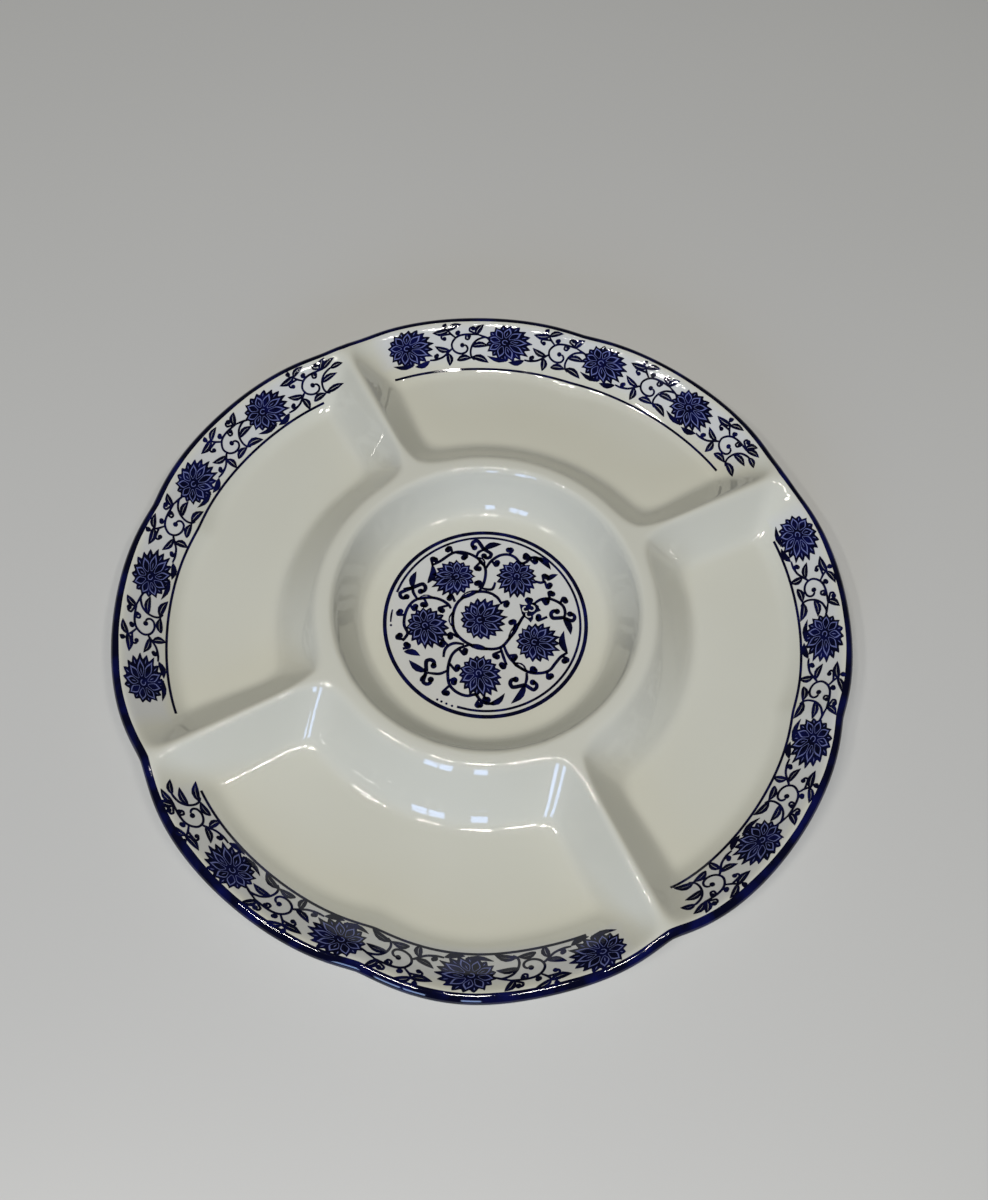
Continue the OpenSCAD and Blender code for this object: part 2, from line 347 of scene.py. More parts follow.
# %% Write the rim band, the bowl's wall and the ring wall
rim_slope = math.radians(38)
rim_rise = math.tan(rim_slope)
lip_w = 3.5 * mm
lip_blend = 2 * mm
rim_steps = [
    ("lip here", "ADD", "lip", "lift"),
    ("from edge", "SUBTRACT", "radius", "edge"),
    ("past corner", "ADD", "from edge", lip_w),
    ("band", "MULTIPLY_ADD", "past corner", rim_rise, "lip here"),
    ("cap here", "ADD", "cap", "lift"),
    ("rim", "SMOOTH_MIN", "band", "cap here", lip_blend),
]

crest_r = 56 * mm
crest_back = 1.5 * mm
bowl_sink = 6 * mm
bowl_steps = [
    ("into bowl", "SUBTRACT", "radius", "bowl edge"),
    ("wall width", "SUBTRACT", crest_r - crest_back, "bowl edge"),
    ("wall share", "DIVIDE", "into bowl", "wall width"),
    ("wall part", "MAXIMUM", "wall share", 0.0),
    ("wall square", "MULTIPLY", "wall part", "wall part"),
    ("wall foot", "SUBTRACT", "floor", bowl_sink),
    ("wall rise", "SUBTRACT", "crest", "wall foot"),
    ("bowl wall", "MULTIPLY_ADD", "wall square", "wall rise", "wall foot"),
]

ring_fall = math.tan(math.radians(48.4))
crest_half = 2.4 * mm
ring_steps = [
    ("past crest", "SUBTRACT", "radius", crest_r),
    ("crest edge", "ADD", "crest", crest_half * ring_fall),
    ("ring wall", "MULTIPLY_ADD", "past crest", -ring_fall, "crest edge"),
]
print("steps for rim, bowl and ring:", len(rim_steps), len(bowl_steps), len(ring_steps))

# %% [markdown]
# A divider is a roof over a ridge that falls from the ring wall to the rim. Four of them could be copied
# round the axis, but Ping-Pong folds the angle instead, so that one formula stands for the nearest divider.
# Its sides lean out more and more towards the rim, where the divider is widest.

# %% Write the dividers
divider_fall = math.tan(math.radians(51))
divider_spread = 0.35
divider_blend = 6 * mm
well_r = 92 * mm
divider_steps = [
    ("from divider", "PINGPONG", "angle", half_well),
    ("sine", "SINE", "from divider"),
    ("cosine", "COSINE", "from divider"),
    ("spread", "MULTIPLY_ADD", "radius", divider_spread, (1 - divider_spread) * well_r),
    ("beside", "MULTIPLY", "spread", "sine"),
    ("along", "MULTIPLY", "radius", "cosine"),
    ("one side", "MULTIPLY", "beside", divider_fall),
    ("other side", "MULTIPLY", "one side", -1.0),
    ("roof", "SMOOTH_MIN", "one side", "other side", divider_blend),
    ("past ring", "SUBTRACT", "along", crest_r),
    ("ridge share", "DIVIDE", "past ring", rim_r - crest_r),
    ("ridge drop", "SUBTRACT", "divider end", "divider start"),
    ("ridge", "MULTIPLY_ADD", "ridge share", "ridge drop", "divider start"),
    ("divider", "ADD", "ridge", "roof"),
]
print("steps for the dividers:", len(divider_steps))

# %% [markdown]
# ## The slopes joined
# Blender's smooth minimum and maximum join the slopes: the larger their distance, the softer the bend
# between them. A bevel could round the edges of solids, but with one width for each. Here the bend between
# dividers, ring wall and rim widens with height: it is tight at the floor and soft at the top. The joints
# are pressed flat along a line from the ring's crest to the lip.

# %% Join the slopes to one height
crest_blend = 7 * mm
corner_foot_blend = 16 * mm
corner_top_blend = 30 * mm
rim_blend = 22 * mm
rim_bend = 3 * mm
bend = 4.5 * mm
level_blend = 2.5 * mm
rim_joint_h = lip_h + 1.5 * mm
joint_steps = [
    ("taller", "MAXIMUM", "ring wall", "divider"),
    ("above floor", "SUBTRACT", "taller", "floor"),
    ("well depth", "SUBTRACT", "crest", "floor"),
    ("depth share", "DIVIDE", "above floor", "well depth"),
    ("under top", "MINIMUM", "depth share", 1.0),
    ("corner share", "MAXIMUM", "under top", 0.0),
    ("corner", "MULTIPLY_ADD", "corner share", corner_top_blend - corner_foot_blend, corner_foot_blend),
    ("walls", "SMOOTH_MAX", "ring wall", "divider", "corner"),
    ("ring", "SMOOTH_MIN", "bowl wall", "walls", crest_blend),
    ("rim and floor", "SMOOTH_MAX", "rim", "floor", rim_bend),
    ("below rim", "SUBTRACT", "rim and floor", "floor"),
    ("rim share", "DIVIDE", "below rim", rim_blend),
    ("rim part", "MINIMUM", "rim share", 1.0),
    ("joint", "MULTIPLY_ADD", "rim part", rim_blend - bend, bend),
    ("shell", "SMOOTH_MAX", "ring", "rim and floor", "joint"),
    ("way out", "DIVIDE", "past crest", rim_r - crest_r),
    ("press line", "MULTIPLY_ADD", "way out", rim_joint_h - crest_h, crest_h),
    ("press", "MINIMUM", "press line", crest_h),
    ("height", "SMOOTH_MIN", "shell", "press", level_blend),
]
height_inputs = ["Radius", "Angle", "Edge", "Lift", "Floor", "Crest", "Divider Start", "Divider End", "Lip",
                 "Cap", "Bowl Edge"]
dish_height, given, leave = start_tree(
    "dish height", [(name, "Float") for name in height_inputs], [("Height", "Float")])
height_parts = work_out(dish_height, {name.lower(): socket for name, socket in given.items()},
                        rim_steps + bowl_steps + ring_steps + divider_steps + joint_steps)
dish_height.links.new(height_parts["height"], leave.inputs["Height"])
print("dish height:", len(dish_height.nodes), "nodes")

# %% [markdown]
# ## Top and underside
# A pressed dish is about equally thick all over, so the same formula with lower values gives the
# underside. Solidify could thicken the top instead, but its inner wall would cross itself in tight bends.
# Underneath, the cap lies high above the lip, so that the band there rises all the way to the edge.

# %% Set the heights of the top and of the underside
wall = 4.5 * mm
under_drop = 7 * mm
cap_clear = 20 * mm
ridge_start_drop = 0.4 * mm
ridge_end_rise = 1.0 * mm
bowl_edge = 35 * mm
bowl_edge_under = 38 * mm
# A smooth minimum or maximum moves its meeting point by a sixth of its distance
top_side = {
    "Floor": floor_h,
    "Crest": crest_h + crest_blend / 6,
    "Divider Start": crest_h - ridge_start_drop + divider_blend / 6,
    "Divider End": lip_h + ridge_end_rise + divider_blend / 6,
    "Lip": lip_h,
    "Cap": lip_h,
    "Bowl Edge": bowl_edge,
}
under_side = {
    "Floor": floor_h - wall,
    "Crest": top_side["Crest"] - under_drop,
    "Divider Start": top_side["Divider Start"] - under_drop,
    "Divider End": top_side["Divider End"] - under_drop,
    "Lip": lip_h - wall / math.cos(rim_slope),
    "Cap": lip_h + cap_clear,
    "Bowl Edge": bowl_edge_under,
}
print(f"underside: {wall / mm} mm below the floor, {under_drop / mm} mm below the crest")

# %% [markdown]
# ## The porcelain body
# A flat grid is wrapped round the axis: its columns become rays and its rows run out over the top, round
# the lip and back along the underside. A spun section would do for a round dish, but not for one with
# dividers. The rays crowd together at the dividers, where the shape turns quickest.

# %% Wrap a grid round the axis
rays = 480
ray_crowding = 0.4
wrap_steps = [
    ("turn", "MULTIPLY", "u", -math.tau),
    ("four turns", "MULTIPLY", "turn", 4.0),
    ("crowd", "SINE", "four turns"),
    ("angle", "MULTIPLY_ADD", "crowd", -ray_crowding / 4, "turn"),
]
place_steps = [
    ("cosine", "COSINE", "angle"),
    ("sine", "SINE", "angle"),
    ("x", "MULTIPLY", "radius", "cosine"),
    ("y", "MULTIPLY", "radius", "sine"),
]


def find_edge(tree, known):
    """Adds the edge's reach and lift at an angle to what is known."""
    edge = add(tree, "GeometryNodeGroup", {"Angle": known["angle"]}, node_tree=lobed_rim)
    known["edge"] = edge.outputs["Edge"]
    known["lift"] = edge.outputs["Lift"]


def rows_and_rays(tree, columns, rows):
    """A grid with the share along each of its sides, and the angle of each column round the dish."""
    posts = work_out(tree, {"columns": columns}, [("posts", "ADD", "columns", 1.0)])["posts"]
    grid = add(tree, "GeometryNodeMeshGrid", {"Vertices X": posts, "Vertices Y": rows + 1})
    share = add(tree, "ShaderNodeSeparateXYZ", {0: grid.outputs["UV Map"]})
    known = work_out(tree, {"u": share.outputs["X"], "v": share.outputs["Y"]}, wrap_steps)
    find_edge(tree, known)
    return grid.outputs["Mesh"], known


def surface(tree, known, side):
    """The height of the dish's top or underside at a reach and an angle."""
    place = {"Radius": known["reach"], "Angle": known["angle"], "Edge": known["edge"], "Lift": known["lift"]}
    return add(tree, "GeometryNodeGroup", {**place, **side}, node_tree=dish_height).outputs["Height"]


def set_place(tree, mesh, known):
    """Moves every point of a mesh to the place that was worked out for it."""
    work_out(tree, known, place_steps)
    spot = add(tree, "ShaderNodeCombineXYZ", {"X": known["x"], "Y": known["y"], "Z": known["z"]})
    moved = add(tree, "GeometryNodeSetPosition", {"Geometry": mesh, "Position": spot.outputs[0]})
    return moved.outputs["Geometry"]


print(f"{rays} rays, {1 - ray_crowding:.1f} to {1 + ray_crowding:.1f} times as wide as even ones")

# %% [markdown]
# The rows over the top and under the bottom follow the height, and between them the lip is half a round.
# The foot ring, on which the dish stands, could be a ring of its own, but it is pressed from the same clay,
# so it is one more smooth minimum.

# %% Lay the rows of the body
top_rows = 112
lip_rows = 14
under_rows = 64
body_rows = top_rows + lip_rows + under_rows
lip_depth = 3.3 * mm
foot_r = 88 * mm
foot_half = 1.75 * mm
foot_flare = 2.5
foot_blend = 1.5 * mm

body_tree, given, leave = start_tree("pressed body", [("Rays", "Int")], [("Geometry", "Geometry")])
sheet, known = rows_and_rays(body_tree, given["Rays"], body_rows)
work_out(body_tree, known, [
    ("row", "MULTIPLY", "v", body_rows),
    ("top rows", "DIVIDE", "row", top_rows),
    ("top share", "MINIMUM", "top rows", 1.0),
    ("rows past top", "SUBTRACT", "row", top_rows),
    ("lip rows", "DIVIDE", "rows past top", lip_rows),
    ("lip begun", "MAXIMUM", "lip rows", 0.0),
    ("lip share", "MINIMUM", "lip begun", 1.0),
    ("rows past lip", "SUBTRACT", "rows past top", lip_rows),
    ("under rows", "DIVIDE", "rows past lip", under_rows),
    ("under share", "MAXIMUM", "under rows", 0.0),
    ("way back", "SUBTRACT", 1.0, "under share"),
    ("out and back", "MULTIPLY", "top share", "way back"),
    ("full reach", "SUBTRACT", "edge", lip_depth),
    ("reach", "MULTIPLY", "full reach", "out and back"),
])
known["top"] = surface(body_tree, known, top_side)
known["bare under"] = surface(body_tree, known, under_side)
work_out(body_tree, known, [
    ("from foot", "SUBTRACT", "reach", foot_r),
    ("foot distance", "ABSOLUTE", "from foot"),
    ("past foot", "SUBTRACT", "foot distance", foot_half),
    ("beside foot", "MAXIMUM", "past foot", 0.0),
    ("foot side", "MULTIPLY", "beside foot", foot_flare),
    ("under", "SMOOTH_MIN", "bare under", "foot side", foot_blend),
    ("lip angle", "MULTIPLY_ADD", "lip share", -math.pi, math.pi / 2),
    ("lip out", "COSINE", "lip angle"),
    ("radius", "MULTIPLY_ADD", "lip out", lip_depth, "reach"),
    ("lip up", "SINE", "lip angle"),
    ("upper part", "MULTIPLY_ADD", "lip up", 0.5, 0.5),
    ("thickness", "SUBTRACT", "top", "under"),
    ("z", "MULTIPLY_ADD", "upper part", "thickness", "under"),
])
moved_sheet = set_place(body_tree, sheet, known)
print("body:", body_rows, "rows,", len(body_tree.nodes), "nodes")

# %% [markdown]
# Merging by distance closes the seam and the poles, and the biscuit goes where the foot touches the table.
# A live modifier would do for a picture, but the export needs plain meshes, so the tree runs once and its
# result is kept. Two calls then let the piece ride with the dish and hide the solid that it stands for.

# %% Close the body and run its tree
touch_h = 0.15 * mm
weld = 0.001 * mm


def pass_through(tree, shape, steps):
    """Passes a shape through nodes, one after the other. A step is a kind, inputs and perhaps settings."""
    for kind, inputs, *settings in steps:
        shape = add(tree, kind, {0: shape, **inputs}, **dict(*settings)).outputs[0]
    return shape


def run_tree(name, tree, sizes):
    """Runs a tree once and keeps the result as a plain mesh, with its place in the mesh."""
    piece = bpy.data.objects.new(name, bpy.data.meshes.new(name))
    bpy.context.scene.collection.objects.link(piece)
    modifier = piece.modifiers.new(name, "NODES")
    modifier.node_group = tree
    for socket in tree.interface.items_tree:
        if socket.in_out == "INPUT" and socket.name in sizes:
            modifier[socket.identifier] = sizes[socket.name]
    evaluated = piece.evaluated_get(bpy.context.evaluated_depsgraph_get())
    shape = bpy.data.meshes.new_from_object(evaluated)
    piece.modifiers.clear()
    piece.data = shape
    shape.name = name
    print(f"{name}: {len(shape.vertices)} points, {len(shape.polygons)} faces")
    return piece


def hand_over(piece, node):
    """Lets a piece stand for its CAD node and ride with the dish."""
    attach(piece, "root")
    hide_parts(node)


position = add(body_tree, "GeometryNodeInputPosition").outputs[0]
height_now = add(body_tree, "ShaderNodeSeparateXYZ", {0: position}).outputs["Z"]
touching = add(body_tree, "FunctionNodeCompare", {0: height_now, 1: touch_h}, operation="LESS_THAN")
fired = pass_through(body_tree, moved_sheet, [
    ("GeometryNodeMergeByDistance", {"Distance": weld}),
    ("GeometryNodeSetShadeSmooth", {}),
    ("GeometryNodeRealizeInstances", {}),
    ("GeometryNodeSetMaterial", {"Material": porcelain}),
    ("GeometryNodeSetMaterial", {"Selection": touching.outputs[0], "Material": biscuit}),
])
body_tree.links.new(fired, leave.inputs["Geometry"])

body = run_tree("porcelain_dish", body_tree, {"Rays": rays})
hand_over(body, "porcelain_body")

# %% [markdown]
# ## The blue lip
# The painter holds a loaded brush against the edge while the dish turns on a wheel. The colour covers the
# round of the lip and ends in an edge that wanders a little on top. A second material on the body would
# end in steps from face to face. So it is a thin closed film on the same section as the body: the film's
# own section is a lens, so that it has no step at its edges.

# %% Wrap the lip's film round the edge
film = 0.08 * mm
band_rows = 24
band_top = math.radians(88)
band_end = math.radians(14)
wander = math.radians(8)
# The length of a wave in the brush's path, as a share of the rim's radius
wander_size = 0.2

lip_tree, given, leave = start_tree("brushed lip", [("Rays", "Int")], [("Geometry", "Geometry")])
sheet, known = rows_and_rays(lip_tree, given["Rays"], band_rows)
work_out(lip_tree, known, [
    ("reach", "SUBTRACT", "edge", lip_depth),
    ("cosine", "COSINE", "angle"),
    ("sine", "SINE", "angle"),
])
known["top"] = surface(lip_tree, known, top_side)
known["under"] = surface(lip_tree, known, under_side)
round_dish = add(lip_tree, "ShaderNodeCombineXYZ", {"X": known["cosine"], "Y": known["sine"]})
brush = add(lip_tree, "ShaderNodeTexNoise",
            {"Vector": round_dish.outputs[0], "Scale": 1 / wander_size, "Detail": 2.0})
known["brush"] = brush.outputs["Fac"]
work_out(lip_tree, known, [
    ("unsteady", "SUBTRACT", "brush", 0.5),
    ("start", "MULTIPLY_ADD", "unsteady", 2 * wander, band_top),
    ("span", "SUBTRACT", "start", band_end),
    ("round", "MULTIPLY", "v", math.tau),
    ("swing", "COSINE", "round"),
    ("share", "MULTIPLY_ADD", "swing", 0.5, 0.5),
    ("lip angle", "MULTIPLY_ADD", "share", "span", band_end),
    ("bulge", "SINE", "round"),
    ("lip out", "COSINE", "lip angle"),
    ("lip up", "SINE", "lip angle"),
    ("depth", "MULTIPLY_ADD", "bulge", film, lip_depth),
    ("radius", "MULTIPLY_ADD", "lip out", "depth", "reach"),
    ("thickness", "SUBTRACT", "top", "under"),
    ("half thickness", "MULTIPLY", "thickness", 0.5),
    ("middle", "ADD", "under", "half thickness"),
    ("height", "MULTIPLY_ADD", "bulge", film, "half thickness"),
    ("z", "MULTIPLY_ADD", "lip up", "height", "middle"),
])
painted = pass_through(lip_tree, set_place(lip_tree, sheet, known), [
    ("GeometryNodeMergeByDistance", {"Distance": weld}),
    ("GeometryNodeSetShadeSmooth", {}),
    ("GeometryNodeRealizeInstances", {}),
    ("GeometryNodeSetMaterial", {"Material": brushed_cobalt}),
])
lip_tree.links.new(painted, leave.inputs["Geometry"])

lip_band = run_tree("blue_lip", lip_tree, {"Rays": rays})
hand_over(lip_band, "edge_band")

# %% [markdown]
# ## A lotus head
# The prints show lotus heads on a scrolling vine, a traditional pattern on blue and white ware. An
# engraver draws it once, and it is printed on tissue and laid on the clay. Here it is drawn flat, in
# millimetres, in the same way. A motif has lines, which are rows of points with a width, or shapes, which
# are closed outlines one inside the other. Filling every second space leaves a flower's fine lines open,
# and the same outlines, filled by themselves, are the pale blue that lies in them.

# %% Draw a lotus head
def on_circle(hub, radius, angle):
    """A point on a circle."""
    return hub[0] + radius * math.cos(angle), hub[1] + radius * math.sin(angle)


def petal(angle, root, tip, half):
    """The outline of a petal of a flower of radius 1: narrow at its root, wide in its middle, pointed."""
    sides = ((0.0, 0.2), (0.25, 0.7), (0.45, 1.0), (0.62, 0.9), (0.78, 0.56), (0.9, 0.22), (1.0, 0.02))
    side = [(root + (tip - root) * t, half * w) for t, w in sides]
    outline = side + [(r, -w) for r, w in reversed(side)]
    along = math.cos(angle)
    across = math.sin(angle)
    return [(r * along - w * across, r * across + w * along) for r, w in outline]


def crescent(hub, radius, start, end, width):
    """The outline of part of a ring, with its angles in degrees."""
    steps = 10
    turns = [math.radians(start + (end - start) * k / steps) for k in range(steps + 1)]
    outer = [on_circle(hub, radius + width / 2, t) for t in turns]
    inner = [on_circle(hub, radius - width / 2, t) for t in reversed(turns)]
    return outer + inner


def lotus(centre, wide, high, turn, lean=0.18):
    """A dark lotus head: nine petals, veins and the tips of nine more petals behind them, in pale lines.
    No two petals are alike, and the head leans to a side. The named sizes are shares of its radius."""
    petals = 9
    line = 0.034
    heart_r = 0.11
    heart_ends = (-150, 120)
    petal_tip = 0.85
    petal_half = 0.16
    petal_root = 0.24
    inner_root = 0.26
    inner_tip_gap = 2.4 * line
    # The root, tip and half width of the thin petals that stand for single lines
    tip_behind = (0.7, 0.86, 0.018)
    vein = (0.34, 0.56, 0.016)
    unevenness = 0.06
    # Half of a petal's edge: the share of the way to the next petal, and the distance from the middle
    half_edge = [(0.0, 1.03), (0.05, 0.99), (0.1, 0.94), (0.16, 0.88), (0.22, 0.84), (0.28, 0.84),
                 (0.35, 0.9), (0.42, 0.95), (0.5, 1.0)]
    petal_edge = half_edge + [(1 - share, r) for share, r in half_edge[-2:0:-1]]
    edge = []
    loops = [crescent((0, 0), heart_r, *heart_ends, line)]
    for k in range(petals):
        bearing = math.tau * k / petals
        # The sine of a square jumps about from petal to petal like an unsteady hand
        vary = 1 + unevenness * math.sin(2.4 * k * k)
        for share, r in petal_edge:
            near_tip = max(0.0, 1 - 3 * min(share, 1 - share))
            reach = r * (1 + (vary - 1) * near_tip)
            edge.append(on_circle((0, 0), reach, bearing + math.tau * share / petals))
        tip = petal_tip * vary
        loops.append(petal(bearing, petal_root, tip, petal_half))
        loops.append(petal(bearing, inner_root, tip - inner_tip_gap, petal_half - line))
        loops.append(petal(bearing + math.pi / petals, *tip_behind))
        if k % 2:
            loops.append(petal(bearing, *vein))
    shapes = []
    for loop in [edge] + loops:
        shape = []
        for x, y in loop:
            x += lean * (1 - x * x - y * y)
            along = x * math.cos(turn) - y * math.sin(turn)
            across = x * math.sin(turn) + y * math.cos(turn)
            shape.append((centre[0] + along * wide / 2, centre[1] + across * high / 2))
        shapes.append(shape)
    return {"shapes": shapes, "pale": shapes[1:]}


unit_origin = (-1.5, -0.4)
border_flower = lotus(unit_origin, 18.6, 14.8, 2.9)
print("lotus head:", len(border_flower["shapes"]), "outlines")

# %% [markdown]
# ## The vine of the border
# One unit of the border is a lotus head and the vine that leads to the next one. The vine leaves the
# flower low, winds up into a scroll and comes down again to the next flower. A traced picture would hold
# every slip of the print, but a few strokes with their own rules stay clean at any size: stems, leaves
# with a bare slit, and curls that end in a bud. At the end of each border the vine stops, and a sprig
# of leaves takes the place of the next flower.

# %% Draw a unit of the border
def stem(*points, width=0.85):
    """An even line with slightly finer ends."""
    end_share = 0.75
    last = len(points) - 1
    row = [(x, y, width * (end_share if i in (0, last) else 1.0)) for i, (x, y) in enumerate(points)]
    return {"lines": [row]}


def dot(hub, radius):
    """A round outline."""
    corners = 10
    return [on_circle(hub, radius, math.tau * k / corners) for k in range(corners)]


def leaf(start, tip, width, bow=0.1, slit=0.06):
    """A pointed leaf. The bare slit along its middle has a share of the leaf's width, and 0 leaves it out."""
    colour_spread = 1.1
    root = complex(*start)
    way = complex(*tip) - root
    aside = 1j * way
    half = aside / abs(aside) * width / 2 * colour_spread

    def outline(sides):
        middle = [(root + way * t + aside * bow * math.sin(math.pi * t), w) for t, w in sides]
        points = [p + half * w for p, w in middle] + [p - half * w for p, w in reversed(middle)]
        return [(p.real, p.imag) for p in points]

    shapes = [outline(((0.0, 0.2), (0.18, 0.75), (0.42, 1.0), (0.65, 0.85), (0.85, 0.45), (1.0, 0.05)))]
    if slit:
        shapes.append(outline(((0.16, 0.02), (0.32, slit), (0.55, slit), (0.78, 0.02))))
    return {"shapes": shapes}


def curl(start, crown, turn=1, reach=0.8, bud=0.8, width=0.8):
    """A hook that swings round its crown, to the left for a turn of 1, and ends in a round bud."""
    swing_step = math.radians(38)
    swing_points = 6
    way = complex(*crown) - complex(*start)
    entry = math.atan2(way.imag, way.real) - turn * math.pi / 2
    hook = [on_circle(crown, reach, entry + turn * swing_step * k) for k in range(swing_points)]
    return {"lines": [[(x, y, width) for x, y in [start] + hook]], "shapes": [dot(hook[-1], bud)]}


unit = [
    border_flower,
    stem((5.5, -6.2), (8, -6.3), (11, -5.6), (13, -4.3), (14.6, -3), (15.4, -2.6)),
    stem((26, 2.6), (22, 2.8), (19, 2.5), (17, 1.6), (15.6, 0), (15.2, -1.5), (15.8, -3.2), (17.2, -4.3),
         (19, -4.7), (20.8, -4.2), (21.6, -3), (21.3, -1.9), (20.4, -1.3)),
    {"shapes": [dot((19.5, -1.4), 0.95)]},
    stem((17, 1.6), (15, 3.4), (14.3, 4.6)),
    leaf((14.6, 4.9), (8.0, 4.2), 2.5),
    leaf((14.2, 4.6), (19.5, 6.9), 2.2),
    leaf((12.8, 5.4), (13.6, 7.7), 1.7, slit=0),
    curl((15, 3.2), (12.1, 2.2), bud=0.85),
    curl((18.8, 2.5), (17.8, 3.4), turn=-1, reach=0.5),
    curl((21.2, 2.7), (21.7, 1.6), bud=0.85),
    curl((25.5, 2.8), (23.4, 4.6), turn=-1, bud=0.95),
    leaf((25, 2.6), (28.2, 6.6), 2.5),
    leaf((17.0, -7.2), (23.2, -6.6), 2.5),
    leaf((13.4, -4.2), (13.7, -9.3), 2.7),
    leaf((14.2, -3.2), (8.3, -1.0), 2.2),
    curl((9.8, -6.0), (8.4, -5.1), turn=-1, reach=0.6),
    stem((29.5, 1.5), (28, 1.5), (25.5, 0.5), (23.8, -1.2), (23, -3), (22.8, -4.8), (23.3, -6.3),
         (24.5, -7.3)),
    leaf((23.4, -6.2), (30.4, -8.4), 2.6),
    leaf((23.4, -2.0), (30.2, -1.8), 2.3),
    leaf((-1.2, -6.9), (-10.2, -5.7), 1.7, slit=0),
    leaf((5.4, -6.5), (-1.1, -7.8), 2.1, slit=0),
]
full_unit = unit + [stem((31, 0.8), (29, 1.6), (26, 2.6))]
end_unit = unit + [leaf((28.6, 1.6), (33.5, 0.2), 2.2), leaf((26, 2.6), (31.5, 4.6), 2.2)]
print("border unit:", len(full_unit), "motifs, and", len(end_unit), "in the last one")

# %% [markdown]
# ## The drawing on its tissue
# A tissue carries the print from the engraver's plate to the dish. Here curves carry it. A pencil layer
# could hold the strokes too, but a curve's point has a radius, which takes one number along: the width of
# its line, or the motif that its shape belongs to.

# %% Keep the border's drawing as curves
def draw(name, motifs, kind, origin):
    """Keeps the lines, shapes or pale lines of motifs as a curve. A point's radius is its line's width, or
    the number of the motif that its shape belongs to."""
    closed = kind != "lines"
    curve = bpy.data.curves.new(name, "CURVE")
    curve.dimensions = "3D"
    for number, motif in enumerate(motifs):
        for row in motif.get(kind, []):
            spline = curve.splines.new("POLY")
            spline.points.add(len(row) - 1)
            spline.use_cyclic_u = closed
            for point, (x, y, *width) in zip(spline.points, row):
                point.co = ((x - origin[0]) * mm, (y - origin[1]) * mm, 0, 1)
                point.radius = number if closed else width[0] * mm
    sketch = bpy.data.objects.new(name, curve)
    bpy.context.scene.collection.objects.link(sketch)
    print(f"{name}: {len(curve.splines)} {kind}")
    return sketch


border_sketches = {
    "Unit Lines": draw("border_unit_lines", full_unit, "lines", unit_origin),
    "Unit Shapes": draw("border_unit_shapes", full_unit, "shapes", unit_origin),
    "End Lines": draw("border_end_lines", end_unit, "lines", unit_origin),
    "End Shapes": draw("border_end_shapes", end_unit, "shapes", unit_origin),
    "Unit Pale": draw("border_unit_pale", unit, "pale", unit_origin),
}

# %% [markdown]
# ## From a drawing to a film of colour
# Fired colour is a skin on the clay, too thin to feel. A texture would blur close up, so the drawing is
# made a mesh. Lines become ribbons that are as wide as each point says, and shapes are filled. Once
# they lie on the dish, a thin extrusion makes them a closed film, with the pale colour a hair lower.

# %% Make ribbons, fillings and films
print_lift = 0.09 * mm
print_depth = 0.06 * mm
pale_drop = 0.01 * mm
film_weld = 0.0005 * mm


def ribbons(tree, sketch):
    """Turns drawn lines to flat ribbons that are as wide as each point says."""
    lines = add(tree, "GeometryNodeObjectInfo", {"Object": sketch}).outputs["Geometry"]
    across = add(tree, "GeometryNodeCurvePrimitiveLine", {"Start": (-0.5, 0, 0), "End": (0.5, 0, 0)})
    profile = add(tree, "GeometryNodeResampleCurve", {"Curve": across.outputs["Curve"], "Count": 4})
    widths = add(tree, "GeometryNodeInputRadius")
    return pass_through(tree, lines, [
        ("GeometryNodeCurveSplineType", {}, {"spline_type": "CATMULL_ROM"}),
        ("GeometryNodeSetSplineResolution", {"Resolution": 6}),
        ("GeometryNodeSetCurveNormal", {}, {"mode": "Z_UP"}),
        ("GeometryNodeCurveToMesh",
         {"Profile Curve": profile.outputs["Curve"], "Scale": widths.outputs["Radius"]}),
    ])


def filled(tree, sketch):
    """Fills each motif by itself: every second space between its outlines stays bare."""
    outlines = add(tree, "GeometryNodeObjectInfo", {"Object": sketch}).outputs["Geometry"]
    number = add(tree, "GeometryNodeInputRadius").outputs["Radius"]
    motif = add(tree, "FunctionNodeFloatToInt", {0: number})
    return pass_through(tree, outlines, [
        ("GeometryNodeFillCurve", {"Group ID": motif.outputs[0]}),
        ("GeometryNodeSubdivideMesh", {"Level": 1}),
    ])


def colour_film(tree, mesh, material):
    """Gives a laid pattern its thickness as a closed film, with every face turned outward."""
    normal = add(tree, "GeometryNodeInputNormal").outputs[0]
    facing = add(tree, "ShaderNodeSeparateXYZ", {0: normal}).outputs["Z"]
    down = add(tree, "FunctionNodeCompare", {0: facing, 1: 0.0}, operation="LESS_THAN").outputs[0]
    upward = add(tree, "GeometryNodeFlipFaces", {"Mesh": mesh, "Selection": down}).outputs["Mesh"]
    raised = add(tree, "GeometryNodeExtrudeMesh",
                 {"Mesh": upward, "Offset": (0, 0, 1), "Offset Scale": print_depth, "Individual": False})
    bottom = add(tree, "GeometryNodeFlipFaces", {"Mesh": upward})
    shell = add(tree, "GeometryNodeJoinGeometry",
                {"Geometry": [raised.outputs["Mesh"], bottom.outputs["Mesh"]]}).outputs["Geometry"]
    return pass_through(tree, shell, [
        ("GeometryNodeMergeByDistance", {"Distance": film_weld}),
        ("GeometryNodeSetShadeSmooth", {"Shade Smooth": False}),
        ("GeometryNodeRealizeInstances", {}),
        ("GeometryNodeSetMaterial", {"Material": material}),
    ])


print(f"films {print_depth / mm:.2f} mm thick, their middle {print_lift / mm:.2f} mm over the glaze")

# %% [markdown]
# ## The four borders
# The tissue is laid on the rim. In the tree, the flat unit is repeated along a line, the line is bent
# round the dish, and every point drops on the same height formula as the body. A shrinkwrap would pull
# the fine lines about, and a formula doesn't. A plain line closes the border towards the well.

# %% Build the tree of a border
border_r = 120.2 * mm
units = 4
line_width = 0.95 * mm
line_posts = 160
follow_edge = 0.7

